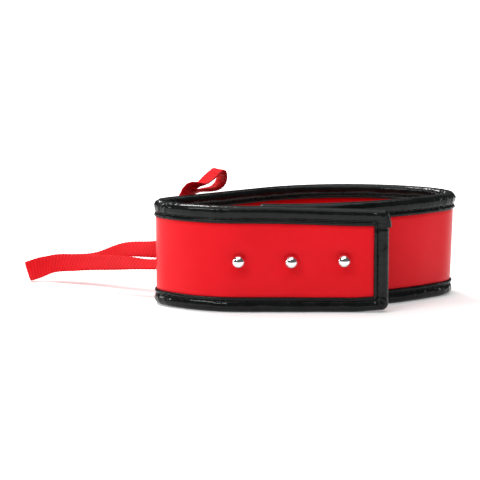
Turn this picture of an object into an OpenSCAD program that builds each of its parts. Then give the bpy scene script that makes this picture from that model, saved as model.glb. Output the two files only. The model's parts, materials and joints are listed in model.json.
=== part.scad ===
// Ankle cuff weight: a slim padded strap closed into a ring, standing on its lower edge.
// Its outer end is a flap with three ball studs. Its inner end is tucked under the flap.
// Two webbing pull loops are sewn to the outside of its back.
// Millimetres, +Z up. The origin is on the floor, in the middle of the ring.

/* [Band] */
// Height of the cuff
band_h = 50; // [40:1:60]
// Thickness of the foam core
core_t = 2.4; // [2.4:0.1:3.2]
// Thickness of the outer skin
skin_t = 0.9; // [0.6:0.1:1.2]
// Thickness of the lining
lining_t = 0.8; // [0.6:0.1:1]
// Thickness of the binding tape
tape_t = 0.6; // [0.4:0.1:0.8]
// Width of binding that shows on each face
binding_w = 7.2; // [6:0.2:9]
// Width of binding around the strap's two ends
end_binding_w = 6.5; // [6:0.5:10]
// Radius of the flap's lower corner
corner_r = 3; // [2:0.5:5]

/* [Plan] */
// Straight run at the flap's end
flap_run = 67; // [60:1:75]
// Radius where the flap starts to bend back
front_r = 50; // [45:1:55]
// Turn of that bend in degrees
front_turn = 48; // [44:1:52]
// Radius of the tight fold at the left
left_r = 8.4; // [8:0.1:10]
// Turn of the left fold in degrees
left_turn = 96; // [92:1:100]
// Radius of the back
back_r = 70; // [66:1:74]
// Turn of the back in degrees
back_turn = 76; // [74:1:78]
// Radius of the fold at the right
right_r = 12.5; // [11:0.5:14]
// Turn of the right fold in degrees
right_turn = 94; // [92:1:96]
// Radius of the side that runs under the flap
under_r = 112; // [108:1:116]
// Straight run at the tucked-in end
under_run = 8; // [6:1:10]
// Distance between the middles of the flap and the tucked-in end, where they are parallel
lap = 6; // [6:0.1:8]

/* [Studs] */
// Diameter of a stud's ball
stud_d = 6.4; // [5:0.2:8]
// Distance between studs
stud_pitch = 24.8; // [20:0.2:27]
// Distance of the first stud from the flap's end
stud_inset = 20; // [18:0.1:24]
// Height of the studs above the floor
stud_z = 24.5; // [20:0.5:28]
// Diameter of a stud's post
post_d = 2.4; // [2:0.2:3]
// Diameter of the washer behind a stud
washer_d = 7; // [6:0.5:9]
// Thickness of that washer
washer_t = 0.5; // [0.4:0.1:0.6]

/* [Closure tapes] */
// Height of the hook tape and the loop tape
closure_h = 30; // [20:1:32]
// Length of each tape
closure_len = 44; // [30:1:46]
// Thickness of each tape
closure_t = 0.8; // [0.6:0.1:0.9]

/* [Weight bars] */
// Width of a bar, along the strap
bar_w = 13; // [10:0.5:13]
// Thickness of a bar
bar_t = 1.6; // [1:0.1:1.6]
// Height of a bar
bar_h = 38; // [30:1:40]
// Distance between bars
bar_pitch = 16; // [15:0.5:18]
// Number of bars in the back
back_bars = 9; // [1:1:9]
// Number of bars in the side that runs under the flap
under_bars = 5; // [1:1:5]

/* [Pull loops] */
// Width of the webbing
web_w = 10; // [8:0.5:12]
// Thickness of the webbing
web_t = 1.2; // [1:0.1:1.4]

/* [Hidden] */
$fn = 48;

red = "#dd1f2d";
dark_red = "#a5121f";
black = "#17171b";
chrome = "#d9dce0";
steel = "#8d9298";
foam = "#3a3a3e";
tape_black = "#232327";
web_red = "#d8141f";

// Distances from the middle of the strap's thickness, outwards positive.
core_o = core_t / 2;
skin_o = core_o + skin_t;
bind_o = skin_o + tape_t;
lining_i = -core_o - lining_t;
bind_i = lining_i - tape_t;

// Half of the gap between the bodies that meet at a fold
half_gap = 0.15;
// Largest turn between two stations of a bend
step_turn = 6;

// The strap's middle line, seen from above, starts at the flap's end and always turns right.
// The last bend brings the strap back to the flap's own heading.
under_turn = 360 - front_turn - left_turn - back_turn - right_turn;
h_front = 180 - front_turn;
h_left = h_front - left_turn;
h_back = h_left - back_turn;
h_right = h_back - right_turn;
h_end = h_right - under_turn;

// Sideways travel of an arc of radius r from heading a to heading b
function sideways(r, a, b) = r * (cos(b) - cos(a));

// The straight run behind the left fold closes the ring with the wanted lap.
bends = sideways(front_r, 180, h_front) + sideways(left_r, h_front, h_left)
      + sideways(back_r, h_left, h_back) + sideways(right_r, h_back, h_right)
      + sideways(under_r, h_right, h_end);
side_run = (lap - bends) / sin(h_left);

// Each segment is [radius, turn] for a bend or [0, length] for a straight run.
plan = [[0, flap_run], [front_r, front_turn], [left_r, left_turn], [0, side_run], [back_r, back_turn],
        [right_r, right_turn], [under_r, under_turn], [0, under_run]];

// Length of a segment
function run_of(g) = g[0] == 0 ? g[1] : g[0] * g[1] * PI / 180;
// Length of the strap before segment k
function start_of(k) = k == 0 ? 0 : start_of(k - 1) + run_of(plan[k - 1]);
// Pose [x, y, heading] after travelling d along segment g from pose p
function travel(p, g, d) =
    g[0] == 0 ? [p[0] + d * cos(p[2]), p[1] + d * sin(p[2]), p[2]]
    : let (h = p[2] - d / g[0] * 180 / PI)
      [p[0] - g[0] * (sin(h) - sin(p[2])), p[1] + g[0] * (cos(h) - cos(p[2])), h];
// Pose at distance s from pose p, starting with segment k
function pose(s, p, k = 0) =
    k == len(plan) - 1 || s <= run_of(plan[k]) ? travel(p, plan[k], s)
    : pose(s - run_of(plan[k]), travel(p, plan[k], run_of(plan[k])), k + 1);

strap_len = start_of(len(plan));
// The strap's outermost points: the left fold, the middle of the back and the right fold
s_left = start_of(2) + left_r * (h_front - 90) * PI / 180;
s_rear = start_of(4) + back_r * h_left * PI / 180;
s_right = start_of(5) + right_r * (h_back + 90) * PI / 180;

// The middle of the ring's outer box is moved to the origin.
raw = [0, 0, 180];
mid_x = (pose(s_left, raw)[0] + pose(s_right, raw)[0]) / 2;
mid_y = pose(s_rear, raw)[1] / 2;
begin = [-mid_x, -mid_y, 180];

// Point at distance s along the strap and o outwards from its middle line
function at(s, o) = let (p = pose(s, begin)) [p[0] - o * sin(p[2]), p[1] + o * cos(p[2])];

stations = [for (k = [0:len(plan) - 1])
                let (n = plan[k][0] == 0 ? 1 : ceil(plan[k][1] / step_turn))
                for (i = [0:n - 1]) start_of(k) + run_of(plan[k]) * i / n];
function between(s0, s1) = concat([s0], [for (s = stations) if (s > s0 + 0.05 && s < s1 - 0.05) s], [s1]);
function outline(s0, s1, o0, o1) =
    let (q = between(s0, s1))
    concat([for (s = q) at(s, o1)], [for (i = [len(q) - 1:-1:0]) at(q[i], o0)]);

// A wall that follows the strap from s0 to s1, between the offsets o0 and o1
module wall(s0, s1, o0, o1, z0, z1)
    translate([0, 0, z0]) linear_extrude(z1 - z0) polygon(outline(s0, s1, o0, o1));

// A wall of the strap's full height inside its bindings
module layer(s0, s1, o0, o1) wall(s0, s1, o0, o1, tape_t, band_h - tape_t);

// Binding folded over the upper edge
module top_binding(s0, s1) color(black)
    difference() {
        wall(s0, s1, bind_i, bind_o, band_h - binding_w, band_h);
        wall(s0 - 1, s1 + 1, lining_i, skin_o, band_h - binding_w - 1, band_h - tape_t);
    }

// Binding folded over the lower edge
module bottom_binding(s0, s1) color(black)
    difference() {
        wall(s0, s1, bind_i, bind_o, 0, binding_w);
        wall(s0 - 1, s1 + 1, lining_i, skin_o, tape_t, binding_w + 1);
    }

// Places its children on the strap: X back towards the flap's end, Y upwards, Z outwards
module on_strap(s, z, o = 0) {
    p = at(s, o);
    translate([p[0], p[1], z]) rotate([90, 0, pose(s, begin)[2] + 180]) children();
}

// Rounded lower corner of the flap's end, inset by d: points from its side down to its bottom
function corner(d) =
    let (r = corner_r - d, x = tape_t - d)
    [for (a = [0:15:90]) [x - r + r * cos(a), d + r - r * sin(a)]];
// Plate of the flap's end outline, len long and inset by d, between the offsets o0 and o1
module end_plate(len, d, o0, o1)
    on_strap(0, 0, o0) linear_extrude(o1 - o0)
        polygon(concat([[-len, d], [-len, band_h - d], [tape_t - d, band_h - d]], corner(d)));
// What lies outside that corner
module corner_waste(d)
    on_strap(0, 0, -5) linear_extrude(10)
        polygon(concat([[corner_r, d - 1], [corner_r, corner_r]], corner(d), [[tape_t - corner_r, d - 1]]));

/* Bodies of the strap: the flap, the back and the tucked-in end */
flap_s = [0, s_left - half_gap];
back_s = [s_left + half_gap, s_right - half_gap];
under_s = [s_right + half_gap, strap_len];

stud_s = [for (i = [0:2]) stud_inset + i * stud_pitch];
stud_seat = 1.9;

module stud_holes(d, o0, o1)
    for (s = stud_s) on_strap(s, stud_z) translate([0, 0, o0]) cylinder(h = o1 - o0, d = d);

module flap_outer_skin() color(red)
    difference() {
        layer(flap_s[0], flap_s[1], core_o, skin_o);
        corner_waste(tape_t);
        stud_holes(post_d, core_o - 1, skin_o + 1);
    }
module flap_foam_core() color(foam)
    difference() {
        layer(flap_s[0], flap_s[1], -core_o, core_o);
        corner_waste(tape_t);
        stud_holes(post_d, -core_o - 1, core_o + 1);
        stud_holes(washer_d, -core_o - 1, -core_o + washer_t);
    }
module flap_lining() color(dark_red)
    difference() {
        layer(flap_s[0], flap_s[1], lining_i, -core_o);
        corner_waste(tape_t);
    }
module flap_top_binding() top_binding(end_binding_w, flap_s[1]);
module flap_bottom_binding() bottom_binding(end_binding_w, flap_s[1]);
module flap_end_binding() color(black)
    difference() {
        end_plate(end_binding_w, 0, bind_i, bind_o);
        end_plate(end_binding_w + 1, tape_t, lining_i, skin_o);
    }
hook_s = end_binding_w + 6;
module hook_tape() color(tape_black)
    wall(hook_s, hook_s + closure_len, lining_i - closure_t, lining_i,
         (band_h - closure_h) / 2, (band_h + closure_h) / 2);

module stud_domes() color(chrome)
    for (s = stud_s) on_strap(s, stud_z, skin_o)
        intersection() {
            translate([0, 0, stud_seat]) sphere(d = stud_d);
            translate([-stud_d, -stud_d, 0]) cube([2 * stud_d, 2 * stud_d, 2 * stud_d]);
        }
module stud_posts() color(steel)
    for (s = stud_s) on_strap(s, stud_z, -core_o) cylinder(h = core_t + skin_t, d = post_d);
module stud_washers() color(steel)
    for (s = stud_s) on_strap(s, stud_z, -core_o)
        difference() {
            cylinder(h = washer_t, d = washer_d);
            translate([0, 0, -1]) cylinder(h = washer_t + 2, d = post_d);
        }

// Flat steel bars in windows through the foam core
bar_play = 0.3;
bar_inset = 8;
back_bar_s = [for (i = [0:back_bars - 1]) start_of(3) + bar_inset + i * bar_pitch];
under_bar_s = [for (i = [0:under_bars - 1]) start_of(6) + bar_inset + i * bar_pitch];
module bar(w, h, t) translate([-w / 2, -h / 2, -t / 2]) cube([w, h, t]);
module bars(places, w, h, t) for (s = places) on_strap(s, band_h / 2) bar(w, h, t);

module back_outer_skin() color(red) layer(back_s[0], back_s[1], core_o, skin_o);
module back_foam_core() color(foam)
    difference() {
        layer(back_s[0], back_s[1], -core_o, core_o);
        bars(back_bar_s, bar_w + 2 * bar_play, bar_h + 2 * bar_play, 2 * core_t);
    }
module back_lining() color(dark_red) layer(back_s[0], back_s[1], lining_i, -core_o);
module back_top_binding() top_binding(back_s[0], back_s[1]);
module back_bottom_binding() bottom_binding(back_s[0], back_s[1]);
module back_weight_bars() color(steel) bars(back_bar_s, bar_w, bar_h, bar_t);

module under_outer_skin() color(red) layer(under_s[0], under_s[1], core_o, skin_o);
module under_foam_core() color(foam)
    difference() {
        layer(under_s[0], under_s[1], -core_o, core_o);
        bars(under_bar_s, bar_w + 2 * bar_play, bar_h + 2 * bar_play, 2 * core_t);
    }
module under_lining() color(dark_red) layer(under_s[0], under_s[1], lining_i, -core_o);
module under_top_binding() top_binding(under_s[0], under_s[1] - end_binding_w);
module under_bottom_binding() bottom_binding(under_s[0], under_s[1] - end_binding_w);
module under_end_binding() color(black)
    difference() {
        wall(under_s[1] - end_binding_w, under_s[1] + tape_t, bind_i, bind_o, 0, band_h);
        wall(under_s[1] - end_binding_w - 1, under_s[1], lining_i, skin_o, tape_t, band_h - tape_t);
    }
loop_s = under_s[1] - end_binding_w - 1 - closure_len;
module loop_tape() color(tape_black)
    wall(loop_s, loop_s + closure_len, skin_o, skin_o + closure_t,
         (band_h - closure_h) / 2, (band_h + closure_h) / 2);
module under_weight_bars() color(steel) bars(under_bar_s, bar_w, bar_h, bar_t);

// The webbing's two ends lie on each other, sewn flat to the straight run behind the left fold.
anchor_len = 12;
left_anchor_s = start_of(3) + 22.4;
left_anchor_z = 18;
rear_anchor_s = start_of(3) + 12.9;
rear_anchor_top = 36;
module anchor_block(w, h) translate([0, -h / 2, 0]) cube([w, h, 2 * web_t]);
// Bar tacks: n threads across a width w
tack_t = 0.3;
module tack(w, n, pitch)
    for (i = [0:n - 1]) translate([i * pitch, -w / 2, 0]) cube([pitch / 2, w, tack_t]);

module left_loop_anchor() color(web_red)
    on_strap(left_anchor_s, left_anchor_z, skin_o) mirror([1, 0, 0]) anchor_block(anchor_len, web_w);
module left_anchor_stitching() color(black)
    on_strap(left_anchor_s, left_anchor_z, skin_o + 2 * web_t) mirror([1, 0, 0])
        for (x = [1, anchor_len - 3]) translate([x, 0, 0]) tack(web_w - 2, 4, 0.6);
module rear_loop_anchor() color(web_red)
    on_strap(rear_anchor_s, rear_anchor_top, skin_o) rotate([0, 0, -90]) anchor_block(anchor_len, web_w);
module rear_anchor_stitching() color(black)
    on_strap(rear_anchor_s, rear_anchor_top, skin_o + 2 * web_t) rotate([0, 0, -90])
        for (x = [1, anchor_len - 3]) translate([x, 0, 0]) tack(web_w - 2, 4, 0.6);

// Routes of the two pull loops: the webbing's middle, then the direction of its width.
left_route = [[-51.4, 6.2, 18, 0, 0, 1], [-56.4, 4.4, 17.7, 0, 0.3, 0.95], [-65.4, 3.3, 16.2, 0, 0.9, 0.44],
              [-76.4, 6.2, 15, 0, 0.96, 0.28], [-88.4, 11, 14.7, -0.1, 0.9, 0.42],
              [-101.4, 18, 13.7, -0.15, 0.86, 0.49], [-113.4, 24.5, 12.5, -0.2, 0.8, 0.58],
              [-124.4, 31, 11, -0.25, 0.7, 0.66], [-133.4, 36, 7.6, -0.29, 0.4, 0.86],
              [-138.9, 40, 5.4, -0.3, 0.1, 0.95], [-137.4, 43.5, 5.5, -0.3, 0.1, 0.95],
              [-129.4, 44, 8, -0.25, 0.6, 0.74], [-117.4, 41, 10, -0.2, 0.82, 0.54],
              [-104.4, 36, 12.2, -0.2, 0.86, 0.46], [-90.4, 28.5, 18.3, -0.15, 0.88, 0.45],
              [-77.4, 20.2, 20.2, 0, 0.81, 0.58], [-65.4, 13.7, 21, 0, 0.5, 0.85],
              [-56.9, 10, 19.5, 0, 0.2, 0.95], [-52.3, 7.5, 18, 0, 0, 1]];
rear_route = [[-57.4, 1.7, 38.4, 0.81, 0.59, 0], [-57.3, 2.7, 43, 0.81, 0.59, 0],
              [-57, 4.6, 47, 0.78, 0.62, 0], [-56.2, 7.1, 50, 0.6, 0.78, -0.25],
              [-53.9, 10.4, 51.8, 0.2, 0.93, -0.3], [-50.4, 13.5, 53.6, -0.3, 0.95, 0],
              [-46.9, 16.5, 56.4, -0.45, 0.87, 0.08], [-43.8, 19.2, 59, -0.5, 0.86, 0],
              [-41.7, 21.2, 59.4, -0.5, 0.86, 0], [-40.7, 22.4, 56.8, -0.5, 0.86, 0],
              [-41.4, 22.3, 53.2, -0.5, 0.86, 0], [-44, 20.5, 50.8, -0.5, 0.86, 0],
              [-47.9, 17.5, 50.2, -0.5, 0.86, 0], [-51.9, 13.9, 50, -0.2, 0.95, -0.1],
              [-55.8, 10.1, 48.6, 0.4, 0.9, -0.1], [-57.5, 7.2, 46.5, 0.75, 0.65, 0],
              [-58, 4.9, 43, 0.81, 0.59, 0], [-58.2, 3.1, 38.4, 0.81, 0.59, 0]];
// Stations between two route points
web_steps = 3;

// Point of a smooth curve through route r, t of the way from point i to point i + 1
function smooth(r, i, t) =
    let (n = len(r) - 1, a = r[max(i - 1, 0)], b = r[i], c = r[i + 1], d = r[min(i + 2, n)])
    (2 * b + (c - a) * t + (2 * a - 5 * b + 4 * c - d) * t * t + (3 * b - a - 3 * c + d) * t * t * t) / 2;
function unit(v) = v / norm(v);
function place(v) = [v[0], v[1], v[2]];
function width_of(v) = [v[3], v[4], v[5]];
// The four corners of the webbing's section at curve point m, where the curve heads along d
function section(m, d) =
    let (u = unit(d), w0 = width_of(m), w = unit(w0 - (w0 * u) * u), n = cross(u, w))
    [for (c = [[1, 1], [-1, 1], [-1, -1], [1, -1]])
        place(m) + w * c[0] * web_w / 2 + n * c[1] * web_t / 2];

// Webbing of rectangular section swept along a route
module webbing(r) {
    m = concat([for (i = [0:len(r) - 2]) for (j = [0:web_steps - 1]) smooth(r, i, j / web_steps)],
               [r[len(r) - 1]]);
    n = len(m) - 1;
    heading = [for (i = [0:n]) place(m[min(i + 1, n)]) - place(m[max(i - 1, 0)])];
    points = [for (i = [0:n]) for (q = section(m[i], heading[i])) q];
    sides = [for (i = [0:n - 1]) for (j = [0:3])
                 let (a = 4 * i + j, b = 4 * i + (j + 1) % 4)
                 for (t = [[a, b, a + 4], [b, b + 4, a + 4]]) t];
    polyhedron(points, concat([[3, 2, 1, 0]], sides, [[4 * n, 4 * n + 1, 4 * n + 2, 4 * n + 3]]));
}
module left_pull_loop() color(web_red) webbing(left_route);
module rear_pull_loop() color(web_red) webbing(rear_route);

flap_outer_skin();
flap_foam_core();
flap_lining();
flap_top_binding();
flap_bottom_binding();
flap_end_binding();
hook_tape();
stud_domes();
stud_posts();
stud_washers();
back_outer_skin();
back_foam_core();
back_lining();
back_top_binding();
back_bottom_binding();
back_weight_bars();
left_loop_anchor();
left_anchor_stitching();
rear_loop_anchor();
rear_anchor_stitching();
under_outer_skin();
under_foam_core();
under_lining();
under_top_binding();
under_bottom_binding();
under_end_binding();
loop_tape();
under_weight_bars();
left_pull_loop();
rear_pull_loop();
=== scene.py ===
"""Looks of the ankle cuff weight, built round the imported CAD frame.

Sizes and places are in millimetres and turn into metres when a mesh is made.
Places on the strap are (s, z, o): s runs along it from the flap's end, z is the height above its lower
edge, and o is the distance outwards from the middle of its thickness.
"""
import json
import math

import bmesh
import bpy
import numpy as np
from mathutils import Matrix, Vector


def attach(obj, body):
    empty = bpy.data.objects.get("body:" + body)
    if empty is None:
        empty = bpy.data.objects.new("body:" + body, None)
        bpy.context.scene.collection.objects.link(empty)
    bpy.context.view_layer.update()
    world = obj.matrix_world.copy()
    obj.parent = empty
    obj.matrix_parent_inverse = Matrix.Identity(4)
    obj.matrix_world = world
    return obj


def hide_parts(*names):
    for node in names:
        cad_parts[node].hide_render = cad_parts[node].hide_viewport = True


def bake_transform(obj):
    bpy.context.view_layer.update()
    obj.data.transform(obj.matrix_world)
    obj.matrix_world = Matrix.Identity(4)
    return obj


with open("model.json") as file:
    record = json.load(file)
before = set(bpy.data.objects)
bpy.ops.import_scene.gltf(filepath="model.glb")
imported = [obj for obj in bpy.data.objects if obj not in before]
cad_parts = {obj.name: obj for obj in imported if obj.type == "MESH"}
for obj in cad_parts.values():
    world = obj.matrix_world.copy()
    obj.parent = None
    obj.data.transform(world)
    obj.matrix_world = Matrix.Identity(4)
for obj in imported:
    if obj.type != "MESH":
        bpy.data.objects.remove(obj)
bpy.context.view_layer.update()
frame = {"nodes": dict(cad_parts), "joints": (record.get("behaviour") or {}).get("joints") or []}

MM = 0.001
TAU = 2 * math.pi

# ---------------------------------------------------------------- strap, as in the CAD (mm, degrees)
BAND_H = 50.0
CORE_O = 1.2  # the foam core reaches this far on either side of the strap's middle
SKIN_O = 2.1  # outer face of the red skin
LINING_I = -2.0  # inner face of the lining
BINDING_LOW = 7.3  # height of the lower binding on the outer face
BINDING_TOP = 8.0  # height of the upper binding on the outer face
END_BINDING_W = 6.5
INNER_SHARE = 0.84  # the binding's height on the inner face, as a share of that on the outer face
TAPE_T = 0.6
FLAP_RUN = 67.0
FRONT = (50.0, 48.0)  # radius and turn of each bend, from the flap round to the tucked-in end
LEFT = (8.4, 96.0)
BACK = (70.0, 76.0)
RIGHT = (12.5, 94.0)
UNDER_R = 112.0
UNDER = (UNDER_R, 360.0 - FRONT[1] - LEFT[1] - BACK[1] - RIGHT[1])
UNDER_RUN = 8.0
LAP = 6.0  # how far behind the flap the tucked-in end lies
STUD_PITCH = 24.8
STUD_INSET = 20.0
WEB_W = 10.0
WEB_T = 1.2
RIB_PITCH = 1.9


def side_run_length():
    """Length of the straight run behind the left fold, which closes the ring with the wanted lap."""
    heading, sideways = 180.0, 0.0
    for radius, turn in (FRONT, LEFT, BACK, RIGHT, UNDER):
        after = heading - turn
        sideways += radius * (math.cos(math.radians(after)) - math.cos(math.radians(heading)))
        heading = after
    return (LAP - sideways) / math.sin(math.radians(180 - FRONT[1] - LEFT[1]))


def bent_run(radius, turn):
    """Length and turn of a run of the strap that bends at the given radius."""
    return radius * math.radians(turn), turn


# Each run of the strap is (length, turn in degrees).
RUNS = [(FLAP_RUN, 0.0), bent_run(*FRONT), bent_run(*LEFT), (side_run_length(), 0.0),
        bent_run(*BACK), bent_run(*RIGHT), bent_run(*UNDER), (UNDER_RUN, 0.0)]
STARTS = [0.0]
for length, turn in RUNS:
    STARTS.append(STARTS[-1] + length)
STRAP_LEN = STARTS[-1]
# Where the strap turns at the left fold, in the middle of the back and at the right fold
S_LEFT = STARTS[2] + LEFT[0] * math.radians(180 - FRONT[1] - 90)
S_REAR = STARTS[4] + BACK[0] * math.radians(180 - FRONT[1] - LEFT[1])
S_RIGHT = STARTS[5] + RIGHT[0] * math.radians(90 - (BACK[1] - (180 - FRONT[1] - LEFT[1])))

# ---------------------------------------------------------------- middle line of the strap
STEP = 0.25
BEYOND = 3.0  # the line goes on this far past both ends, for the bindings
SOFTEN = 2.5  # the bends run into each other over about this many mm


def middle_line(soften):
    """Stations, points and headings of the strap's middle line."""
    s = np.arange(-BEYOND, STRAP_LEN + BEYOND, STEP)
    rate = np.zeros(len(s))
    for (length, turn), start in zip(RUNS, STARTS):
        rate[(s >= start) & (s < start + length)] = turn / length
    if soften:
        reach = np.arange(-4 * soften, 4 * soften + STEP, STEP)
        kernel = np.exp(-0.5 * (reach / soften) ** 2)
        rate = np.convolve(rate, kernel / kernel.sum(), mode="same")
    heading = np.radians(180.0 - np.concatenate([[0], np.cumsum((rate[1:] + rate[:-1]) / 2 * STEP)]))
    x = np.concatenate([[0], np.cumsum(np.cos((heading[1:] + heading[:-1]) / 2) * STEP)])
    y = np.concatenate([[0], np.cumsum(np.sin((heading[1:] + heading[:-1]) / 2) * STEP)])
    return s, x - np.interp(0, s, x), y - np.interp(0, s, y), heading


def settled_line():
    """The softened line, brought back onto the exact one in the middle of the stretches between folds."""
    s, x, y, heading = middle_line(SOFTEN)
    s, x0, y0, _ = middle_line(0)
    keys = [0, FLAP_RUN / 2, STARTS[3] + RUNS[3][0] / 2, S_REAR, (STARTS[6] + STARTS[7]) / 2, STRAP_LEN]
    dx = np.interp(s, keys, [np.interp(k, s, x0 - x) for k in keys])
    dy = np.interp(s, keys, [np.interp(k, s, y0 - y) for k in keys])
    mid_x = (np.interp(S_LEFT, s, x0) + np.interp(S_RIGHT, s, x0)) / 2
    mid_y = np.interp(S_REAR, s, y0) / 2
    return s, x + dx - mid_x, y + dy - mid_y, heading


LINE_S, LINE_X, LINE_Y, LINE_H = settled_line()


def smooth(t):
    """0 below 0, 1 above 1 and a soft rise between."""
    t = np.clip(t, 0, 1)
    return t * t * (3 - 2 * t)


def bell(x, width):
    """1 at x = 0, falling off on both sides over about width."""
    return np.exp(-0.5 * (np.asarray(x, float) / width) ** 2)


# How the real strap strays from an upright wall of constant height, and how far along it that reaches
TOP_PUFF = 0.4
FLAP_TOP_DROP = 1.6
FLAP_TOP_REACH = 62.0
FLAP_TOE_LIFT = 1.0
FLAP_TOE_REACH = 16.0
FOLD_LIFT = 0.25
FOLD_LIFT_REACH = 16.0
RIGHT_LEAN = 1.3  # how far the right fold leans out at its upper edge
RIGHT_LEAN_REACH = 26.0
RIGHT_LEAN_FOOT = 0.15  # the share of that lean that is there already at the lower edge
LEFT_BULGE = 0.4
LEFT_BULGE_REACH = 9.0


def sag_z(s, z):
    """Height above the floor of what lies at height z on the flat strap."""
    low = FLAP_TOE_LIFT * (1 - smooth(s / FLAP_TOE_REACH)) + FOLD_LIFT * bell(s - S_LEFT, FOLD_LIFT_REACH)
    high = BAND_H + TOP_PUFF - FLAP_TOP_DROP * (1 - smooth(s / FLAP_TOP_REACH))
    return low + (high - low) * z / BAND_H


def place(s, z, o):
    """Points in metres at distance s along the strap, height z and offset o outwards from its middle."""
    s, z, o = np.broadcast_arrays(np.asarray(s, float), np.asarray(z, float), np.asarray(o, float))
    h = np.interp(s, LINE_S, LINE_H)
    lean = RIGHT_LEAN * bell(s - S_RIGHT, RIGHT_LEAN_REACH) * (z / BAND_H + RIGHT_LEAN_FOOT)
    o = o + lean + LEFT_BULGE * bell(s - S_LEFT, LEFT_BULGE_REACH)
    x = np.interp(s, LINE_S, LINE_X) - o * np.sin(h)
    y = np.interp(s, LINE_S, LINE_Y) + o * np.cos(h)
    return np.stack([x, y, sag_z(s, z)], -1) * MM


# ---------------------------------------------------------------- mesh helpers
WELD = 2e-6  # metres: points closer together than this are made one


def make_mesh(name, points, faces, pattern=None, clean=False):
    """A mesh object from points in metres.

    pattern gives each point its place on the cloth, for the materials.
    """
    mesh = bpy.data.meshes.new(name)
    mesh.from_pydata([tuple(p) for p in np.asarray(points, float)], [], [tuple(f) for f in faces])
    if pattern is not None:
        attribute = mesh.attributes.new("cloth", "FLOAT_VECTOR", "POINT")
        attribute.data.foreach_set("vector", (np.asarray(pattern, np.float32) * MM).ravel())
    obj = bpy.data.objects.new(name, mesh)
    bpy.context.scene.collection.objects.link(obj)
    if clean:
        bm = bmesh.new()
        bm.from_mesh(mesh)
        bmesh.ops.remove_doubles(bm, verts=bm.verts, dist=WELD)
        bmesh.ops.recalc_face_normals(bm, faces=bm.faces)
        bm.to_mesh(mesh)
        bm.free()
    mesh.validate()
    mesh.polygons.foreach_set("use_smooth", [len(face.vertices) < 5 for face in mesh.polygons])
    mesh.update()
    return obj


def capped_faces(rows, columns):
    """Quads between closed rows of points, then a flat end on the first row and one on the last."""
    faces = []
    for i in range(rows - 1):
        a, b = i * columns, (i + 1) * columns
        for j in range(columns):
            k = (j + 1) % columns
            faces.append((a + j, a + k, b + k, b + j))
    faces.append(tuple(range(columns))[::-1])
    faces.append(tuple(range((rows - 1) * columns, rows * columns)))
    return faces


def swept(name, sections, pattern=None, clean=False):
    """A closed solid from an array of closed sections, shape (rows, columns, 3), with flat ends."""
    faces = capped_faces(*sections.shape[:2])
    return make_mesh(name, sections.reshape(-1, 3), faces, pattern, clean)


def joined(name, shapes, rows, clean=False):
    """One object from several closed shapes, each an array of points in so many rows of equal length."""
    faces = []
    base = 0
    for points in shapes:
        for face in capped_faces(rows, len(points) // rows):
            faces.append(tuple(base + i for i in face))
        base += len(points)
    return make_mesh(name, np.concatenate(shapes), faces, clean=clean)


def wear(obj, material, body=None, bend=None, replaces=()):
    """Gives a piece its material, what it moves with and the CAD nodes that it stands for.

    bend is (body, body, start, end) for a piece that crosses a joint. Only whether it is given is read: such
    a piece has its place baked into its mesh and rides on no body. Other pieces ride on body.
    """
    obj.data.materials.clear()
    obj.data.materials.append(material)
    if replaces:
        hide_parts(*replaces)
    if bend:
        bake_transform(obj)
    elif body:
        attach(obj, body)
    return obj


# ---------------------------------------------------------------- relief of the cloth (mm)
# Place (s, z) of each stud. They were set by hand, so they stray a little from the CAD's even spacing.
STUDS = [(STUD_INSET, 25.2),
         (STUD_INSET + STUD_PITCH - 0.2, 24.3),
         (STUD_INSET + 2 * STUD_PITCH - 0.5, 24.3)]
# The binding and its seam run once round the strap's edge, so what repeats along them fits that length.
AROUND = 2 * (STRAP_LEN + 2 * TAPE_T + BAND_H)


def fitted(length):
    """The nearest length that goes a whole number of times round the strap's edge."""
    return AROUND / round(AROUND / length)


STITCH_PITCH = fitted(3.4)
STITCH_LENGTH = 2.3
THREAD_T = 0.40
rng = np.random.default_rng(11)
# Ripples as (length, phase, slant)
WAVES = [(rng.uniform(14, 60), rng.uniform(0, TAU), rng.uniform(-0.05, 0.05)) for _ in range(7)]
PLEATS = [(rng.uniform(2.6, 5.2), rng.uniform(0, TAU), rng.uniform(-0.5, 0.5)) for _ in range(6)]
PRESSED = 0.55  # how far the sheets are pressed in under the binding
UNDERLAP = 1.7  # they start to rise this far inside the binding's edge
DIMPLE_DEPTH = 0.62
DIMPLE_R = 5.2


def waves(s, z):
    """Slow unevenness, about -1 to 1."""
    total = 0.0
    for length, phase, slant in WAVES:
        total = total + np.sin(TAU * s / length + phase + slant * z)
    return total / 3.2


def pleats(s, t):
    """Sharp creases that run across the binding, about 0 to 1."""
    total = 0.0
    for length, phase, slant in PLEATS:
        total = total + (1 - np.abs(np.sin(math.pi * s / length + phase + slant * t))) ** 3
    return total / 2.2


def clear_of_binding(s, z, share=1.0):
    """1 where the cloth shows, falling to 0 under the binding, where it lies pressed in."""
    end = END_BINDING_W * share - UNDERLAP
    above = smooth((z - BINDING_LOW * share + 1.5) / 2)
    below = smooth((BAND_H - BINDING_TOP * share + 1.5 - z) / 2)
    return above * below * smooth((s - end) / 1.5) * smooth((STRAP_LEN - s - end) / 1.5)


def crown(z):
    """Padded across the strap's height: 1 along the middle, 0 at the edges."""
    return 1 - np.abs(2 * z / BAND_H - 1) ** 4


def skin_relief(s, z):
    """How far the red skin stands off its flat place, with a dimple and a faint rim round each stud."""
    dimples = 0.0
    for stud_s, stud_z in STUDS:
        r = np.hypot(s - stud_s, z - stud_z)
        dimples = dimples - DIMPLE_DEPTH * np.exp(-(r / DIMPLE_R) ** 2) + 0.12 * bell(r - 8.5, 3.0)
    full = PRESSED + 0.30 * crown(z) + dimples + 0.10 * waves(s, z)
    return full * clear_of_binding(s, z) - PRESSED


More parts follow.
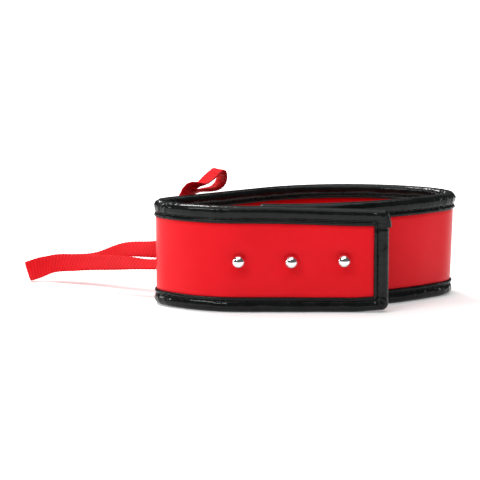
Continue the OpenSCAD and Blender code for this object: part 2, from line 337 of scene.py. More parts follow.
def lining_relief(s, z):
    """The same for the lining, which is slack: it puckers where a fold squeezes it."""
    squeeze = bell(s - S_LEFT, 7) * 0.55 + bell(s - S_RIGHT, 9) * 0.45
    folds = np.sin(TAU * s / 5.3 + 0.5 * np.sin(z / 7)) * np.sin(math.pi * z / BAND_H)
    full = squeeze * folds - 0.12 * crown(z) + 0.08 * waves(s + 90, z) - PRESSED
    return full * clear_of_binding(s, z, INNER_SHARE) + PRESSED


# ---------------------------------------------------------------- materials
def new_material(name):
    material = bpy.data.materials.new(name)
    material.use_nodes = True
    tree = material.node_tree
    shader = tree.nodes["Principled BSDF"]
    return material, tree, shader


def node(tree, kind, **values):
    """A new node, with values for its settings or, where it has no such setting, for its inputs."""
    made = tree.nodes.new(kind)
    for key, value in values.items():
        if hasattr(made, key):
            setattr(made, key, value)
        else:
            made.inputs[key.replace("_", " ")].default_value = value
    return made


def cloth_place(tree, scale=(1, 1, 1)):
    """The point's place on the cloth in metres, stretched by scale."""
    attribute = node(tree, "ShaderNodeAttribute", attribute_name="cloth")
    mapping = node(tree, "ShaderNodeMapping")
    mapping.inputs["Scale"].default_value = scale
    tree.links.new(attribute.outputs["Vector"], mapping.inputs["Vector"])
    return mapping.outputs["Vector"]


def object_place(tree):
    return node(tree, "ShaderNodeTexCoord").outputs["Object"]


def noise(tree, where, scale, detail=3.0, roughness=0.55):
    made = node(tree, "ShaderNodeTexNoise", Scale=scale, Detail=detail, Roughness=roughness)
    tree.links.new(where, made.inputs["Vector"])
    return made.outputs["Fac"]


def spread(tree, value, low, high):
    """value from 0..1 mapped to low..high."""
    made = node(tree, "ShaderNodeMapRange")
    made.inputs["To Min"].default_value = low
    made.inputs["To Max"].default_value = high
    tree.links.new(value, made.inputs["Value"])
    return made.outputs["Result"]


def blend_colours(tree, value, a, b):
    """Colour a where value is low and colour b where it is high."""
    ramp = node(tree, "ShaderNodeValToRGB")
    ramp.color_ramp.elements[0].color = (*a, 1)
    ramp.color_ramp.elements[1].color = (*b, 1)
    ramp.color_ramp.elements[0].position = 0.3
    ramp.color_ramp.elements[1].position = 0.7
    tree.links.new(value, ramp.inputs["Fac"])
    return ramp.outputs["Color"]


def add(tree, a, b, weight=1.0):
    """a plus weight times b."""
    made = node(tree, "ShaderNodeMath", operation="MULTIPLY_ADD")
    tree.links.new(b, made.inputs[0])
    made.inputs[1].default_value = weight
    tree.links.new(a, made.inputs[2])
    return made.outputs[0]


def bump(tree, shader, height, distance, strength=1.0):
    made = node(tree, "ShaderNodeBump", Distance=distance, Strength=strength)
    tree.links.new(height, made.inputs["Height"])
    tree.links.new(made.outputs["Normal"], shader.inputs["Normal"])


def coated_sheet(name, light, dark, roughness, specular, tint):
    """Smooth coated sheet with a very fine pebble grain."""
    material, tree, shader = new_material(name)
    where = cloth_place(tree)
    cells = node(tree, "ShaderNodeTexVoronoi", Scale=1500.0, feature="SMOOTH_F1")
    tree.links.new(where, cells.inputs["Vector"])
    cloud = noise(tree, where, 38.0, 4)
    fine = noise(tree, where, 900.0, 2)
    tree.links.new(blend_colours(tree, cloud, light, dark), shader.inputs["Base Color"])
    tree.links.new(spread(tree, fine, roughness - 0.05, roughness + 0.07), shader.inputs["Roughness"])
    bump(tree, shader, add(tree, cells.outputs["Distance"], fine, 0.6), 0.00004, 0.35)
    shader.inputs["Specular IOR Level"].default_value = specular
    shader.inputs["Specular Tint"].default_value = (*tint, 1)
    return material


def patent(name):
    """Wet-look black coated tape: mirror gloss over slow ripples and hair creases."""
    material, tree, shader = new_material(name)
    where = cloth_place(tree)
    ripple = noise(tree, where, 150.0, 2)
    crease = noise(tree, cloth_place(tree, (1, 0.35, 1)), 520.0, 4, 0.6)
    black = blend_colours(tree, ripple, (0.004, 0.005, 0.005), (0.009, 0.010, 0.010))
    tree.links.new(black, shader.inputs["Base Color"])
    tree.links.new(spread(tree, crease, 0.04, 0.12), shader.inputs["Roughness"])
    bump(tree, shader, add(tree, ripple, crease, 0.35), 0.0009, 0.5)
    shader.inputs["Specular IOR Level"].default_value = 0.17
    return material


def webbing_material(name):
    """Woven nylon: cross ribs with fine warp threads between them. The dye carries painted shade in stripes,
    darker in the troughs between the ribs.
    """
    material, tree, shader = new_material(name)
    warp = node(tree, "ShaderNodeTexWave", Scale=1150.0, Distortion=0.6, Detail=1.0, bands_direction="Y")
    weft = node(tree, "ShaderNodeTexWave", Scale=780.0, Distortion=0.8, Detail=1.0, bands_direction="X")
    where = cloth_place(tree)
    for wave in (warp, weft):
        tree.links.new(where, wave.inputs["Vector"])
    fuzz = noise(tree, where, 1400.0, 3)
    cloud = noise(tree, where, 60.0, 3)
    # painted shade: the dye is darkened in stripes at the rib pitch, in the troughs between the ribs
    ribs = node(tree, "ShaderNodeTexWave", Scale=TAU / (20 * RIB_PITCH * MM), bands_direction="X")
    tree.links.new(where, ribs.inputs["Vector"])
    rib_trough_painted_shade = node(tree, "ShaderNodeHueSaturation")
    dyed = blend_colours(tree, cloud, (0.66, 0.003, 0.008), (0.56, 0.002, 0.006))
    tree.links.new(dyed, rib_trough_painted_shade.inputs["Color"])
    tree.links.new(spread(tree, ribs.outputs["Fac"], 1.0, 0.84), rib_trough_painted_shade.inputs["Value"])
    tree.links.new(rib_trough_painted_shade.outputs["Color"], shader.inputs["Base Color"])
    tree.links.new(spread(tree, fuzz, 0.5, 0.72), shader.inputs["Roughness"])
    height = add(tree, warp.outputs["Fac"], weft.outputs["Fac"], 0.8)
    bump(tree, shader, add(tree, height, fuzz, 0.5), 0.00008, 0.35)
    shader.inputs["Specular IOR Level"].default_value = 0.08
    shader.inputs["Sheen Weight"].default_value = 0.04
    shader.inputs["Sheen Roughness"].default_value = 0.4
    shader.inputs["Sheen Tint"].default_value = (1.0, 0.35, 0.35, 1)
    return material


def metal(name, colour, low, high, scale=300.0, lengthwise=1.0):
    """Bare metal, its roughness between low and high. lengthwise below 1 draws its grain out upright."""
    material, tree, shader = new_material(name)
    mapping = node(tree, "ShaderNodeMapping")
    mapping.inputs["Scale"].default_value = (1, 1, lengthwise)
    tree.links.new(object_place(tree), mapping.inputs["Vector"])
    grain = noise(tree, mapping.outputs["Vector"], scale, 4)
    shade = tuple(c * 0.9 for c in colour)
    tree.links.new(blend_colours(tree, grain, colour, shade), shader.inputs["Base Color"])
    tree.links.new(spread(tree, grain, low, high), shader.inputs["Roughness"])
    bump(tree, shader, grain, 0.00002, 0.15)
    shader.inputs["Metallic"].default_value = 1.0
    return material


def plain_cloth(name, light, dark, scale=900.0, roughness=0.85):
    """Felt, foam or thread: matt, with a fine uneven surface."""
    material, tree, shader = new_material(name)
    where = object_place(tree)
    grain = noise(tree, where, scale, 4)
    tree.links.new(blend_colours(tree, grain, light, dark), shader.inputs["Base Color"])
    tree.links.new(spread(tree, grain, roughness - 0.08, roughness + 0.08), shader.inputs["Roughness"])
    bump(tree, shader, grain, 0.0002, 0.6)
    shader.inputs["Specular IOR Level"].default_value = 0.25
    return material


RED_SKIN = coated_sheet("red_coated_sheet", (0.75, 0.008, 0.014), (0.69, 0.006, 0.011), 0.36, 0.35,
                        (1.0, 0.22, 0.26))
RED_LINING = coated_sheet("red_lining_sheet", (0.62, 0.004, 0.008), (0.55, 0.003, 0.006), 0.5, 0.15,
                          (1.0, 0.1, 0.12))
PATENT = patent("black_patent_tape")
WEBBING = webbing_material("red_ribbed_webbing")
CHROME = metal("polished_chrome", (0.86, 0.87, 0.89), 0.02, 0.06)
BAR_STEEL = metal("rolled_steel", (0.45, 0.46, 0.48), 0.28, 0.45, 220.0, 0.05)
STUD_STEEL = metal("plain_steel", (0.52, 0.53, 0.55), 0.22, 0.36)
FOAM = plain_cloth("closed_cell_foam", (0.05, 0.05, 0.055), (0.03, 0.03, 0.034), 1300.0)
HOOKS = plain_cloth("hook_tape_nylon", (0.020, 0.020, 0.022), (0.010, 0.010, 0.012), 2000.0, 0.5)
PILE = plain_cloth("loop_tape_pile", (0.030, 0.030, 0.032), (0.012, 0.012, 0.013), 1500.0, 0.95)
THREAD = plain_cloth("black_thread", (0.016, 0.016, 0.017), (0.008, 0.008, 0.009), 3000.0, 0.55)


# ---------------------------------------------------------------- where the two halves of the strap would bend
def strap_bend(body, joint, behind, before):
    """back_band, body and two points in metres, behind and before the joint's line, between which the strap
    would bend.
    """
    x, y = next(j["pos_m"][:2] for j in frame["joints"] if j["name"] == joint)
    return "back_band", body, (x, y + behind, 0), (x, y - before, 0)


# The front half spans the left fold and the rear half the right fold. They meet in the middle of the back.
FOLD_REACH = 9.5 * MM
FRONT_BEND = strap_bend("front_flap", "flap_peel", FOLD_REACH, FOLD_REACH)
REAR_BEND = strap_bend("under_end", "under_end_spread", 1.3 * FOLD_REACH, 1.2 * FOLD_REACH)


def stations(start, stop, coarse, fine_spans=(), fine=0.6):
    """Stations from start to stop, closer together inside fine_spans."""
    out = [start]
    while out[-1] < stop - 1e-6:
        near = any(a - 1 <= out[-1] <= b for a, b in fine_spans)
        out.append(min(stop, out[-1] + (fine if near else coarse)))
    if len(out) > 2 and out[-1] - out[-2] < 0.3 * fine:
        out.pop(-2)
    return np.array(out)


# Stretches of the strap that need finer stations
FOLDS = [(S_LEFT - 14, S_LEFT + 12), (S_RIGHT - 18, S_RIGHT + 18)]
JOIN = (S_REAR - 4, S_REAR + 4)
AT_STUDS = [(s - 9, s + 9) for s, z in STUDS]


def sheet_solid(name, s, z, outer, inner):
    """A closed sheet over the grid s by z. outer and inner give the offsets of its two faces."""
    gs, gz = np.meshgrid(s, z, indexing="ij")
    flat = np.stack([gs, gz, np.zeros(gs.shape)], -1)
    out_points = place(gs, gz, outer(gs, gz))
    in_points = place(gs, gz, inner(gs, gz))
    sections = np.concatenate([in_points, out_points[:, ::-1]], axis=1)
    pattern = np.concatenate([flat, flat[:, ::-1]], axis=1)
    return swept(name, sections, pattern.reshape(-1, 3), clean=True)


def flat_at(offset):
    """A sheet's face at a constant offset."""
    return lambda s, z: np.full_like(s, offset)


# ---------------------------------------------------------------- skin, core and lining
EDGE_INSET = 3.2  # the layers stop this far inside the binding, clear of its rounded corners
LAYER_GAP = 0.05  # between the foam and the sheets
FOOT = 2.6  # the layers' lower and upper edges lie this far inside the strap's
SKIN_Z = np.concatenate([[FOOT], np.arange(5.0, 45.1, 1.25), [BAND_H - FOOT]])
CORE_Z = np.array([FOOT, 8.0, 25.0, 42.0, BAND_H - FOOT])


def skin_face(s, z):
    return SKIN_O + skin_relief(s, z)


def lining_face(s, z):
    return LINING_I - 0.1 + lining_relief(s, z)


# Each layer is its heights, its outer face, its inner face, its material and its slot.
LAYERS = {
    "outer_skin": (SKIN_Z, skin_face, flat_at(CORE_O + LAYER_GAP), RED_SKIN, "red_skin"),
    "foam_core": (CORE_Z, flat_at(CORE_O), flat_at(-CORE_O), FOAM, "foam"),
    "lining": (SKIN_Z, flat_at(-CORE_O - LAYER_GAP), lining_face, RED_LINING, "red_lining"),
}


def strap_half(tag, start, stop, bend, stretches):
    """Skin, foam and lining of one half, which stands for these stretches of the CAD's strap."""
    s = stations(start, stop, 1.6, FOLDS + AT_STUDS + [JOIN], 0.4)
    for layer, (z, outer, inner, material, slot) in LAYERS.items():
        obj = sheet_solid(f"{tag}_{layer}", s, z, outer, inner)
        wear(obj, material, bend=bend, replaces=[f"{name}_{layer}" for name in stretches])


strap_half("front_half", EDGE_INSET, S_REAR, FRONT_BEND, ["flap", "back"])
strap_half("rear_half", S_REAR, STRAP_LEN - EDGE_INSET, REAR_BEND, ["under"])

# ---------------------------------------------------------------- binding
# Outer half of the folded tape's section, as (share of the way from the strap's edge to the binding's inner
# edge, offset): a rolled edge beside the skin, the seam's groove, then a puffed fold round the strap's edge.
ROLL = [(0.955, 2.05), (1.0, 2.3), (1.0, 2.7), (0.965, 3.0), (0.91, 3.18), (0.85, 3.20), (0.815, 3.05),
        (0.785, 2.78), (0.76, 2.46), (0.72, 2.38), (0.685, 2.56), (0.62, 2.84), (0.55, 3.02), (0.46, 3.16),
        (0.37, 3.20), (0.28, 3.12), (0.19, 2.86), (0.11, 2.40), (0.05, 1.80), (0.015, 1.1), (0.0, 0.38)]
HIDDEN = [(0.9, -1.9), (0.3, -1.8), (0.3, 1.8), (0.9, 1.9)]  # the face that lies on the layers
ROLL_SECTION = ROLL + [(t, -o * 0.97) for t, o in ROLL[::-1]] + HIDDEN
GROOVE_T = 0.72
REACH = np.array([INNER_SHARE if o < 0 else 1.0 for t, o in ROLL_SECTION])
LAPPED = 9.0  # the upper tape lies over the end's tape down to this far below the upper edge
CORNER_EAR = 1.2  # it sticks out this far past the end's tape
CREST_DROP = 1.0  # the creases at the folds notch the upper edge by up to this much


def edge_track(start, end_s, radius_top, radius_low):
    """Outer and inner line of a binding on the unrolled strap, as two arrays of (s, z) pairs.

    They run along the top from start, round the strap's end at end_s, and back along the bottom to start.
    """
    sign = 1 if start > end_s else -1
    inner_s = end_s + sign * (END_BINDING_W + TAPE_T)
    along = stations(min(start, inner_s), max(start, inner_s), 1.3, FOLDS + [JOIN], 0.4)
    along = along[::-1] if sign > 0 else along
    high, low = BAND_H - BINDING_TOP, BINDING_LOW
    outer = [(s, BAND_H) for s in along]
    inner = [(s, high) for s in along]
    corners = []
    for s in np.linspace(inner_s, end_s + sign * radius_top, 8)[1:]:
        corners.append((s, BAND_H))
    for a in np.linspace(0, math.pi / 2, 8)[1:]:
        corners.append((end_s + sign * radius_top * (1 - math.sin(a)),
                        BAND_H - radius_top * (1 - math.cos(a))))
    for z in np.linspace(BAND_H - radius_top, high, 8)[1:]:
        corners.append((end_s, z))
    outer += corners
    inner += [(inner_s, high)] * len(corners)
    at_lap = np.arange(high - 0.25, high - 2.3, -0.25)
    down_end = np.arange(high - 3.0, low + 0.4, -0.8)
    for z in np.concatenate([at_lap, down_end]):
        outer.append((end_s, z))
        inner.append((inner_s, z))
    corners = [(end_s, z) for z in np.linspace(low, radius_low, 7)]
    for a in np.linspace(0, math.pi / 2, 9)[1:]:
        corners.append((end_s + sign * radius_low * (1 - math.cos(a)), radius_low * (1 - math.sin(a))))
    for s in np.linspace(end_s + sign * radius_low, inner_s, 7)[1:]:
        corners.append((s, 0.0))
    outer += corners
    inner += [(inner_s, low)] * len(corners)
    outer += [(s, 0.0) for s in along[::-1][1:]]
    inner += [(s, low) for s in along[::-1][1:]]
    return np.array(outer), np.array(inner)


def lapped(down):
    """1 where the upper tape lies over the end's tape, down being the distance below the upper edge."""
    return smooth((LAPPED - down) / 0.4)


def fold_creases(s, z, t, side):
    """The binding crumples where a fold squeezes it, most of all on its inner face and along the top."""
    squeeze = 1.6 * bell(s - S_LEFT, 7.0) + bell(s - S_RIGHT, 9.0)
    share = np.where(side < 0, 1.0, 0.35) * np.where(z > BAND_H / 2, 1.0, 0.5)
    return (pleats(s, 5 * t) - 0.35) * squeeze * share


def lower_corner_gathers(in_s, z, t):
    """Gathers that fan out where the tape turns the rounded lower corner."""
    corner = bell(np.hypot(in_s - 3.5, z - 3.5), 3.6)
    rays = np.arctan2(z - BINDING_LOW, in_s - END_BINDING_W)
    return 0.55 * corner * (0.5 + 0.5 * np.sin(11 * rays + 3 * t))


def upper_corner_lap(in_s, down):
    """At the upper corner the tape lies over the end's tape, with a slanting tuck, and stops in a step."""
    on_end = smooth((END_BINDING_W + 1.5 - in_s) / 2.0)
    lap = (0.50 * lapped(down) - 0.30 * bell(down - LAPPED - 0.4, 0.4)) * on_end
    tuck = 0.22 * bell(in_s * 1.3 - down, 1.0) * on_end * lapped(down)
    return lap + tuck


def binding_relief(s, z, t, o, run, in_s):
    """Outward swelling of the binding at (s, z), in_s from the strap's end and run along its own length."""
    side = np.sign(o)
    body = smooth((0.68 - t) / 0.25)
    puff = 0.10 * np.sin(TAU * run / fitted(31) + side) * body
    puff = puff + 0.07 * np.sin(TAU * run / fitted(13)) * body
    pucker = -0.12 * (0.5 + 0.5 * np.cos(TAU * run / STITCH_PITCH)) * bell(t - GROOVE_T, 0.12)
    ridge = 0.08 * np.sin(TAU * run / fitted(11) + 2 * side) * bell(t - 0.87, 0.06)
    lumps = (puff + pucker + ridge) * (1 - bell(s - S_REAR, 2.0))  # none where the two halves meet
    gathers = lower_corner_gathers(in_s, z, t) * body
    lap = upper_corner_lap(in_s, BAND_H - z) * (side > 0)
    return lumps + fold_creases(s, z, t, side) + gathers + lap


def run_along(points):
    """Length covered along a string of points, from 0 at the first."""
    return np.concatenate([[0], np.cumsum(np.linalg.norm(np.diff(points, axis=0), axis=1))])


def binding(name, end_s, bend, replaces, radius_top, radius_low):
    """One half of the tape folded over the strap's edges, from the join in the back round the strap's end."""
    sign = 1 if S_REAR > end_s else -1
    outer, inner = edge_track(S_REAR, end_s, radius_top, radius_low)
    run = (S_REAR - sign * run_along(outer))[:, None]
    t, o = np.array(ROLL_SECTION).T
    s = outer[:, :1] * (1 - t * REACH) + inner[:, :1] * t * REACH
    z = outer[:, 1:] * (1 - t * REACH) + inner[:, 1:] * t * REACH
    down = BAND_H - z
    s = s - sign * CORNER_EAR * lapped(down) * smooth(down / 8) * smooth((5 - (s - end_s) * sign) / 5)
    crest = smooth((0.35 - t) / 0.3) * (z > BAND_H / 2)
    squeeze = bell(s - S_LEFT + 6, 5) + 0.7 * bell(s - S_RIGHT, 6)
    z = z - CREST_DROP * pleats(1.4 * s, 6 * t) * squeeze * crest
    shown = (np.abs(o) > 1.0) & (np.arange(len(o)) < len(o) - len(HIDDEN))
    relief = binding_relief(s, z, t, o, run, (s - end_s) * sign)
    across = run_along(np.stack([t * BINDING_TOP, o], -1))
    pattern = np.stack(np.broadcast_arrays(run, across, 0.0), -1)
    obj = swept(name, place(s, z, o + np.sign(o) * relief * shown), pattern.reshape(-1, 3), clean=True)
    wear(obj, PATENT, bend=bend, replaces=replaces)


FLAP_END = -TAPE_T - 0.5
UNDER_END = STRAP_LEN + TAPE_T
binding("front_half_binding", FLAP_END, FRONT_BEND,
        ["flap_top_binding", "flap_bottom_binding", "flap_end_binding",
         "back_top_binding", "back_bottom_binding"],
        radius_top=2.2, radius_low=3.4)
binding("rear_half_binding", UNDER_END, REAR_BEND,
        ["under_top_binding", "under_bottom_binding", "under_end_binding"], radius_top=2.0, radius_low=2.0)


# ---------------------------------------------------------------- seam stitches
# A round-ended thread as (place along it, share of its radius)
THREAD_PROFILE = [(-0.5, 0.25), (-0.42, 0.8), (-0.2, 1.0), (0.2, 1.0), (0.42, 0.8), (0.5, 0.25)]


def threads(name, places, length, thick, sides=6):
    """One object of short threads. places gives the (centre, along, outward) of each in metres."""
    shapes = []
    for centre, along, outward in places:
        across = np.cross(along, outward)
        points = []
        for x, share in THREAD_PROFILE:
            for k in range(sides):
                turn = across * math.cos(TAU * k / sides) + outward * math.sin(TAU * k / sides)
                points.append(centre + along * x * length + turn * share * thick / 2)
        shapes.append(np.array(points))
    return joined(name, shapes, len(THREAD_PROFILE))


def unit(v):
    return v / np.linalg.norm(v, axis=-1, keepdims=True)


SEAM_O = 2.46  # the stitches lie this far from the strap's middle, in the binding's groove


def seam_places(s, z, ds, dz, side):
    """Centre, direction and outward normal of stitches at unrolled places."""
    centre = place(s, z, side * SEAM_O)
    ahead = place(s + ds, z + dz, side * SEAM_O)
    outward = unit(place(s, z, side * (SEAM_O + 1)) - centre)
    return list(zip(centre, unit(ahead - centre), outward))


def seam(name, end_s, bend):
    """The stitches of one half: along both bindings and down the end, on both faces of the strap."""
    sign = 1 if S_REAR > end_s else -1
    places = []
    for side, share in ((1, GROOVE_T), (-1, GROOVE_T * INNER_SHARE)):
        groove_s = end_s + sign * (END_BINDING_W + TAPE_T) * share
        first, last = sorted((groove_s, S_REAR))
        s = np.arange(first + 1.2, last - 1, STITCH_PITCH)
        low_z, high_z = BINDING_LOW * share, BAND_H - BINDING_TOP * share
        up = np.arange(low_z + 1.5, high_z - 1, STITCH_PITCH)
        for z in (low_z, high_z):
            places += seam_places(s, np.full_like(s, z), 0.1, 0, side)
        places += seam_places(np.full_like(up, groove_s), up, 0, 0.1, side)
    wear(threads(name, places, STITCH_LENGTH * MM, THREAD_T * MM), THREAD, bend=bend)


seam("front_half_seam", FLAP_END, FRONT_BEND)
seam("rear_half_seam", UNDER_END, REAR_BEND)


# ---------------------------------------------------------------- studs
STUD_BALL_R = 3.2
STUD_SEAT = 1.9  # height of the ball's centre above the skin
STUD_SUNK = 0.25  # how deep the stud's foot is pressed into the skin
STUD_SIDES = 48


def stud_profile():
    """A flat foot, a narrow neck and a ball, as (radius, height) pairs."""
    rows = [(2.0, -0.35), (2.95, -0.3), (3.05, -0.1), (2.95, 0.15), (2.7, 0.42)]
    lowest = math.asin(-(STUD_SEAT - 0.55) / STUD_BALL_R)
    for a in np.linspace(lowest, math.pi / 2 - 0.02, 26):
        rows.append((STUD_BALL_R * math.cos(a), STUD_SEAT + STUD_BALL_R * math.sin(a)))
    return rows


def turned_on_strap(profile, s, z, o):
    """Points of a turned shape that stands on the strap at (s, z), its axis outwards."""
    angles = np.linspace(0, TAU, STUD_SIDES, endpoint=False)
    turned = MM * np.array([(r * math.cos(a), r * math.sin(a), h) for r, h in profile for a in angles])
    centre = place(s, z, o)
    outward = unit(place(s, z, o + 1) - centre)
    along = unit(place(s + 0.5, z, o) - place(s - 0.5, z, o))
    up = np.cross(outward, along)
    return centre + turned[:, :1] * along + turned[:, 1:2] * up + turned[:, 2:] * outward


def ball_studs():
    profile = stud_profile()
    shapes = [turned_on_strap(profile, s, z, SKIN_O - STUD_SUNK) for s, z in STUDS]
    obj = joined("ball_studs", shapes, len(profile), clean=True)
    wear(obj, CHROME, body="front_flap", replaces=["stud_domes"])


ball_studs()


# ---------------------------------------------------------------- closure tapes
TAPE_LEN = 44.0
TAPE_H = 30.0
TAPE_EDGE_T = 0.25
TAPE_ROUNDING = 1.2
HOOK_START = END_BINDING_W + 6
HOOK_PITCH = 1.1
LOOP_START = STRAP_LEN - END_BINDING_W - 1 - TAPE_LEN


def closure_tape(name, start, offset, thick, side, material, body, replaces):
    """A tape with rounded edges, at offset on the strap's outer face (side 1) or inner face (side -1)."""
    stop = start + TAPE_LEN
    s = stations(start, stop, 1.0)
    z = np.linspace((BAND_H - TAPE_H) / 2, (BAND_H + TAPE_H) / 2, 25)

    def face(a, b):
        rounded = smooth((a - start) / TAPE_ROUNDING) * smooth((stop - a) / TAPE_ROUNDING)
        rounded = rounded * smooth((b - z[0]) / TAPE_ROUNDING) * smooth((z[-1] - b) / TAPE_ROUNDING)
        return offset + side * (TAPE_EDGE_T + (thick - TAPE_EDGE_T) * rounded)

    back = flat_at(offset - side * LAYER_GAP)
    outer, inner = (face, back) if side > 0 else (back, face)
    wear(sheet_solid(name, s, z, outer, inner), material, body=body, replaces=replaces)


def hooks():
    """The field of small stems on the hook tape."""
    s, z = np.meshgrid(np.arange(HOOK_START + 1.8, HOOK_START + TAPE_LEN - 1.5, HOOK_PITCH),
                       np.arange(12, 38.5, HOOK_PITCH), indexing="ij")
    s = s.ravel() + rng.uniform(-0.1, 0.1, s.size)
    z = z.ravel() + rng.uniform(-0.1, 0.1, z.size)
    root = place(s, z, LINING_I - 0.35)
    tip = place(s, z, LINING_I - 0.86)
    lean = unit(place(s + 1, z, LINING_I) - place(s, z, LINING_I))
    stems = list(zip((root + tip) / 2, unit(tip - root), lean))
    obj = threads("hook_tape_hooks", stems, 0.55 * MM, 0.28 * MM, 5)
    wear(obj, HOOKS, body="front_flap")


closure_tape("hook_tape_base", HOOK_START, LINING_I, 0.5, -1, HOOKS, "front_flap", ["hook_tape"])
closure_tape("loop_tape_pile", LOOP_START, SKIN_O, 0.7, 1, PILE, "under_end", ["loop_tape"])
hooks()

# ---------------------------------------------------------------- webbing loops and their sewn ends
# Points of the webbing's middle, each followed by the direction of its width, as in the CAD
LEFT_ROUTE = [(-51.4, 6.2, 18, 0, 0, 1), (-56.4, 4.4, 17.7, 0, 0.3, 0.95), (-65.4, 3.3, 16.2, 0, 0.9, 0.44),
              (-76.4, 6.2, 15, 0, 0.96, 0.28), (-88.4, 11, 14.7, -0.1, 0.9, 0.42),
              (-101.4, 18, 13.7, -0.15, 0.86, 0.49), (-113.4, 24.5, 12.5, -0.2, 0.8, 0.58),
              (-124.4, 31, 11, -0.25, 0.7, 0.66), (-133.4, 36, 7.6, -0.29, 0.4, 0.86),
              (-138.9, 40, 5.4, -0.3, 0.1, 0.95), (-137.4, 43.5, 5.5, -0.3, 0.1, 0.95),
              (-129.4, 44, 8, -0.25, 0.6, 0.74), (-117.4, 41, 10, -0.2, 0.82, 0.54),
              (-104.4, 36, 12.2, -0.2, 0.86, 0.46), (-90.4, 28.5, 18.3, -0.15, 0.88, 0.45),
              (-77.4, 20.2, 20.2, 0, 0.81, 0.58), (-65.4, 13.7, 21, 0, 0.5, 0.85),
              (-56.9, 10, 19.5, 0, 0.2, 0.95), (-52.3, 7.5, 18, 0, 0, 1)]
REAR_ROUTE = [(-57.4, 1.7, 38.4, 0.81, 0.59, 0), (-57.3, 2.7, 43, 0.81, 0.59, 0),
              (-57, 4.6, 47, 0.78, 0.62, 0), (-56.2, 7.1, 50, 0.6, 0.78, -0.25),
              (-53.9, 10.4, 51.8, 0.2, 0.93, -0.3), (-50.4, 13.5, 53.6, -0.3, 0.95, 0),
              (-46.9, 16.5, 56.4, -0.45, 0.87, 0.08), (-43.8, 19.2, 59, -0.5, 0.86, 0),
              (-41.7, 21.2, 59.4, -0.5, 0.86, 0), (-40.7, 22.4, 56.8, -0.5, 0.86, 0),
              (-41.4, 22.3, 53.2, -0.5, 0.86, 0), (-44, 20.5, 50.8, -0.5, 0.86, 0),
              (-47.9, 17.5, 50.2, -0.5, 0.86, 0), (-51.9, 13.9, 50, -0.2, 0.95, -0.1),
              (-55.8, 10.1, 48.6, 0.4, 0.9, -0.1), (-57.5, 7.2, 46.5, 0.75, 0.65, 0),
              (-58, 4.9, 43, 0.81, 0.59, 0), (-58.2, 3.1, 38.4, 0.81, 0.59, 0)]
# The sewn ends of each loop, the one next to the skin first. Each runs from its free end to the loop.
LEFT_SEWN = [[(-39.7, 13.95, 18, 0, 0, 1), (-44.5, 10.45, 18, 0, 0, 1), (-49.4, 6.9, 18, 0, 0, 1)],
             [(-40.4, 14.9, 18, 0, 0, 1), (-45.2, 11.4, 18, 0, 0, 1), (-50.1, 7.9, 18, 0, 0, 1)]]
REAR_SEWN = [[(x, y, z, 0.81, 0.59, 0) for z in (24, 30, 36)] for x, y in ((-57.1, 1.3), (-57.8, 2.3))]


def through(route, steps):
    """Smooth curve through the route's points, steps to a span."""
    r = np.array(route, float)
    padded = np.vstack([r[:1], r, r[-1:]])
    out = []
    for i in range(len(r) - 1):
        a, b, c, d = padded[i:i + 4]
        for k in range(steps):
            t = k / steps
            out.append((2 * b + (c - a) * t + (2 * a - 5 * b + 4 * c - d) * t ** 2
                        + (3 * b - a - 3 * c + d) * t ** 3) / 2)
    out.append(r[-1])
    return np.array(out)


def even(curve, step):
    """The curve again at even steps of length, after the lengths at which its points now lie."""
    run = run_along(curve[:, :3])
    at = np.linspace(0, run[-1], int(run[-1] / step) + 1)
    return at, np.stack([np.interp(at, run, curve[:, k]) for k in range(curve.shape[1])], -1)


def webbing(name, route, sewn, bend, replaces):
    """Ribbed webbing with thin rounded edges, swept from one sewn end round the loop to the other."""
    run, curve = even(through(sewn[0] + route + sewn[1][::-1], 10), 0.24)
    middle, width = curve[:, :3], curve[:, 3:]
    heading = unit(np.gradient(middle, axis=0))
    width = unit(width - (width * heading).sum(1, keepdims=True) * heading)
    normal = np.cross(heading, width)
    x = np.sin(np.linspace(-math.pi / 2, math.pi / 2, 12))
    thick = WEB_T / 2 * (1 - np.abs(x) ** 6 * 0.55)
    u = np.concatenate([x, x[::-1]])
    v = np.concatenate([thick, -thick[::-1]])
    rib = 0.5 + 0.5 * np.cos(TAU * run / RIB_PITCH)
    rise = 1 + 0.25 * (rib[:, None] - 0.5)
    scallop = 1 + 0.03 * (rib[:, None] - 0.5) * (np.abs(u) > 0.93)[None, :]
    cup = 0.12 * (u ** 2)[None, :] * np.sin(run / 17.0)[:, None]
    points = (middle[:, None, :] + width[:, None, :] * (u[None, :] * scallop * WEB_W / 2)[..., None]
              + normal[:, None, :] * (v[None, :] * rise + cup)[..., None])
    pattern = np.stack(np.broadcast_arrays(run[:, None], u[None, :] * WEB_W / 2, np.zeros(1)), -1)
    obj = swept(name, points * MM, pattern.reshape(-1, 3))
    wear(obj, WEBBING, bend=bend, replaces=replaces)


# Each loop's two bodies, and two points in metres beside its sewn end, between which it would bend over a
# short length.
LEFT_LOOP_BEND = ("back_band", "left_pull_loop", (-0.0500, 0.0081, 0.018), (-0.0536, 0.0055, 0.018))
REAR_LOOP_BEND = ("back_band", "rear_pull_loop", (-0.0578, 0.0019, 0.0365), (-0.0578, 0.0019, 0.0401))
webbing("left_loop_webbing", LEFT_ROUTE, LEFT_SEWN, LEFT_LOOP_BEND, ["left_pull_loop", "left_loop_anchor"])
webbing("rear_loop_webbing", REAR_ROUTE, REAR_SEWN, REAR_LOOP_BEND, ["rear_pull_loop", "rear_loop_anchor"])

# ---------------------------------------------------------------- CAD nodes that stay as they are
KEPT = {"back_weight_bars": BAR_STEEL, "under_weight_bars": BAR_STEEL, "stud_posts": STUD_STEEL,
        "stud_washers": STUD_STEEL, "left_anchor_stitching": THREAD, "rear_anchor_stitching": THREAD}
for name, material in KEPT.items():
    finishes = frame["nodes"][name].data.materials
    finishes.clear()
    finishes.append(material)


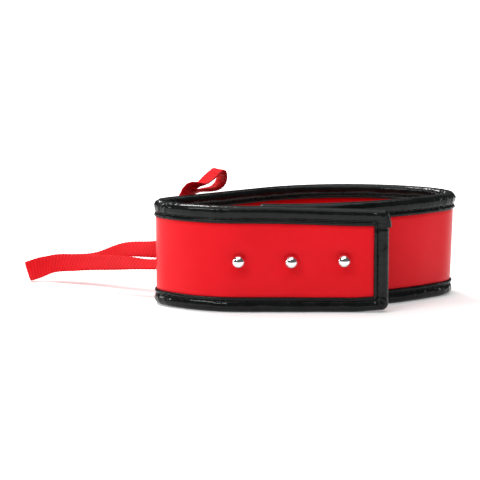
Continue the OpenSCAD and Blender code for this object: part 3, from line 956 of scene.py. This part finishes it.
# ---------------------------------------------------------------- floor, light and camera
def pale_floor():
    """Pale matt floor, whose glow grows with the distance so that it fades into the photograph's white."""
    material, tree, shader = new_material("pale_floor")
    grain = noise(tree, object_place(tree), 3.0)
    pale = blend_colours(tree, grain, (0.90, 0.90, 0.90), (0.92, 0.92, 0.92))
    tree.links.new(pale, shader.inputs["Base Color"])
    shader.inputs["Roughness"].default_value = 0.9
    shader.inputs["Specular IOR Level"].default_value = 0.1
    shader.inputs["Emission Color"].default_value = (1, 1, 1, 1)
    away = node(tree, "ShaderNodeVectorMath", operation="LENGTH")
    tree.links.new(object_place(tree), away.inputs[0])
    glow = spread(tree, away.outputs["Value"], 0.30, 1.0)
    glow.node.inputs["From Min"].default_value = 0.25
    glow.node.inputs["From Max"].default_value = 1.6
    tree.links.new(glow, shader.inputs["Emission Strength"])
    return material


def studio_floor():
    half = 9.0
    corners = [(-half, -half, 0), (half, -half, 0), (half, half, 0), (-half, half, 0)]
    obj = make_mesh("studio_floor", corners, [(0, 1, 2, 3)])
    obj.data.materials.append(pale_floor())


def surrounding_light(strength):
    world = bpy.data.worlds.new("studio")
    bpy.context.scene.world = world
    world.use_nodes = True
    background = world.node_tree.nodes["Background"]
    background.inputs["Color"].default_value = (1, 1, 1, 1)
    background.inputs["Strength"].default_value = strength


def soft_light(name, at, to, size, power):
    """A rectangular lamp. Its place, the point that it faces and its size are in metres."""
    light = bpy.data.lights.new(name, "AREA")
    light.shape = "RECTANGLE"
    light.size, light.size_y = size
    light.energy = power
    obj = bpy.data.objects.new(name, light)
    obj.location = at
    obj.rotation_euler = (Vector(to) - Vector(at)).to_track_quat("-Z", "Y").to_euler()
    bpy.context.scene.collection.objects.link(obj)


studio_floor()
surrounding_light(0.13)
soft_light("overhead", (-0.1, 0.0, 1.5), (0, 0, 0), (2.2, 1.6), 19)
soft_light("key_box", (-1.0, -0.9, 1.2), (-0.06, 0, 0.04), (0.8, 0.14), 9)
soft_light("crest_box", (-0.48, 0.6, 1.15), (-0.06, 0, 0.05), (0.6, 0.18), 14)
soft_light("left_box", (-1.4, 0.1, 0.4), (-0.03, 0, 0.03), (0.15, 0.5), 5)
soft_light("right_box", (1.5, 0.3, 0.35), (0.05, 0, 0.03), (0.12, 0.5), 2)

# The camera stands about a metre in front of the strap and looks down a little, as the photograph's did.
CAMERA_AT = (-31.7, -987.1, 190.2)
CAMERA_PITCH = 9.33
SENSOR_W = 36.0
FOCAL_LENGTH = 154.275


def photo_camera():
    camera = bpy.data.cameras.new("camera")
    camera.sensor_width = SENSOR_W
    camera.lens = FOCAL_LENGTH
    obj = bpy.data.objects.new("camera", camera)
    obj.location = [c * MM for c in CAMERA_AT]
    obj.rotation_euler = (math.radians(90 - CAMERA_PITCH), 0, 0)
    bpy.context.scene.collection.objects.link(obj)
    bpy.context.scene.camera = obj


photo_camera()
bpy.context.scene.view_settings.view_transform = "Standard"
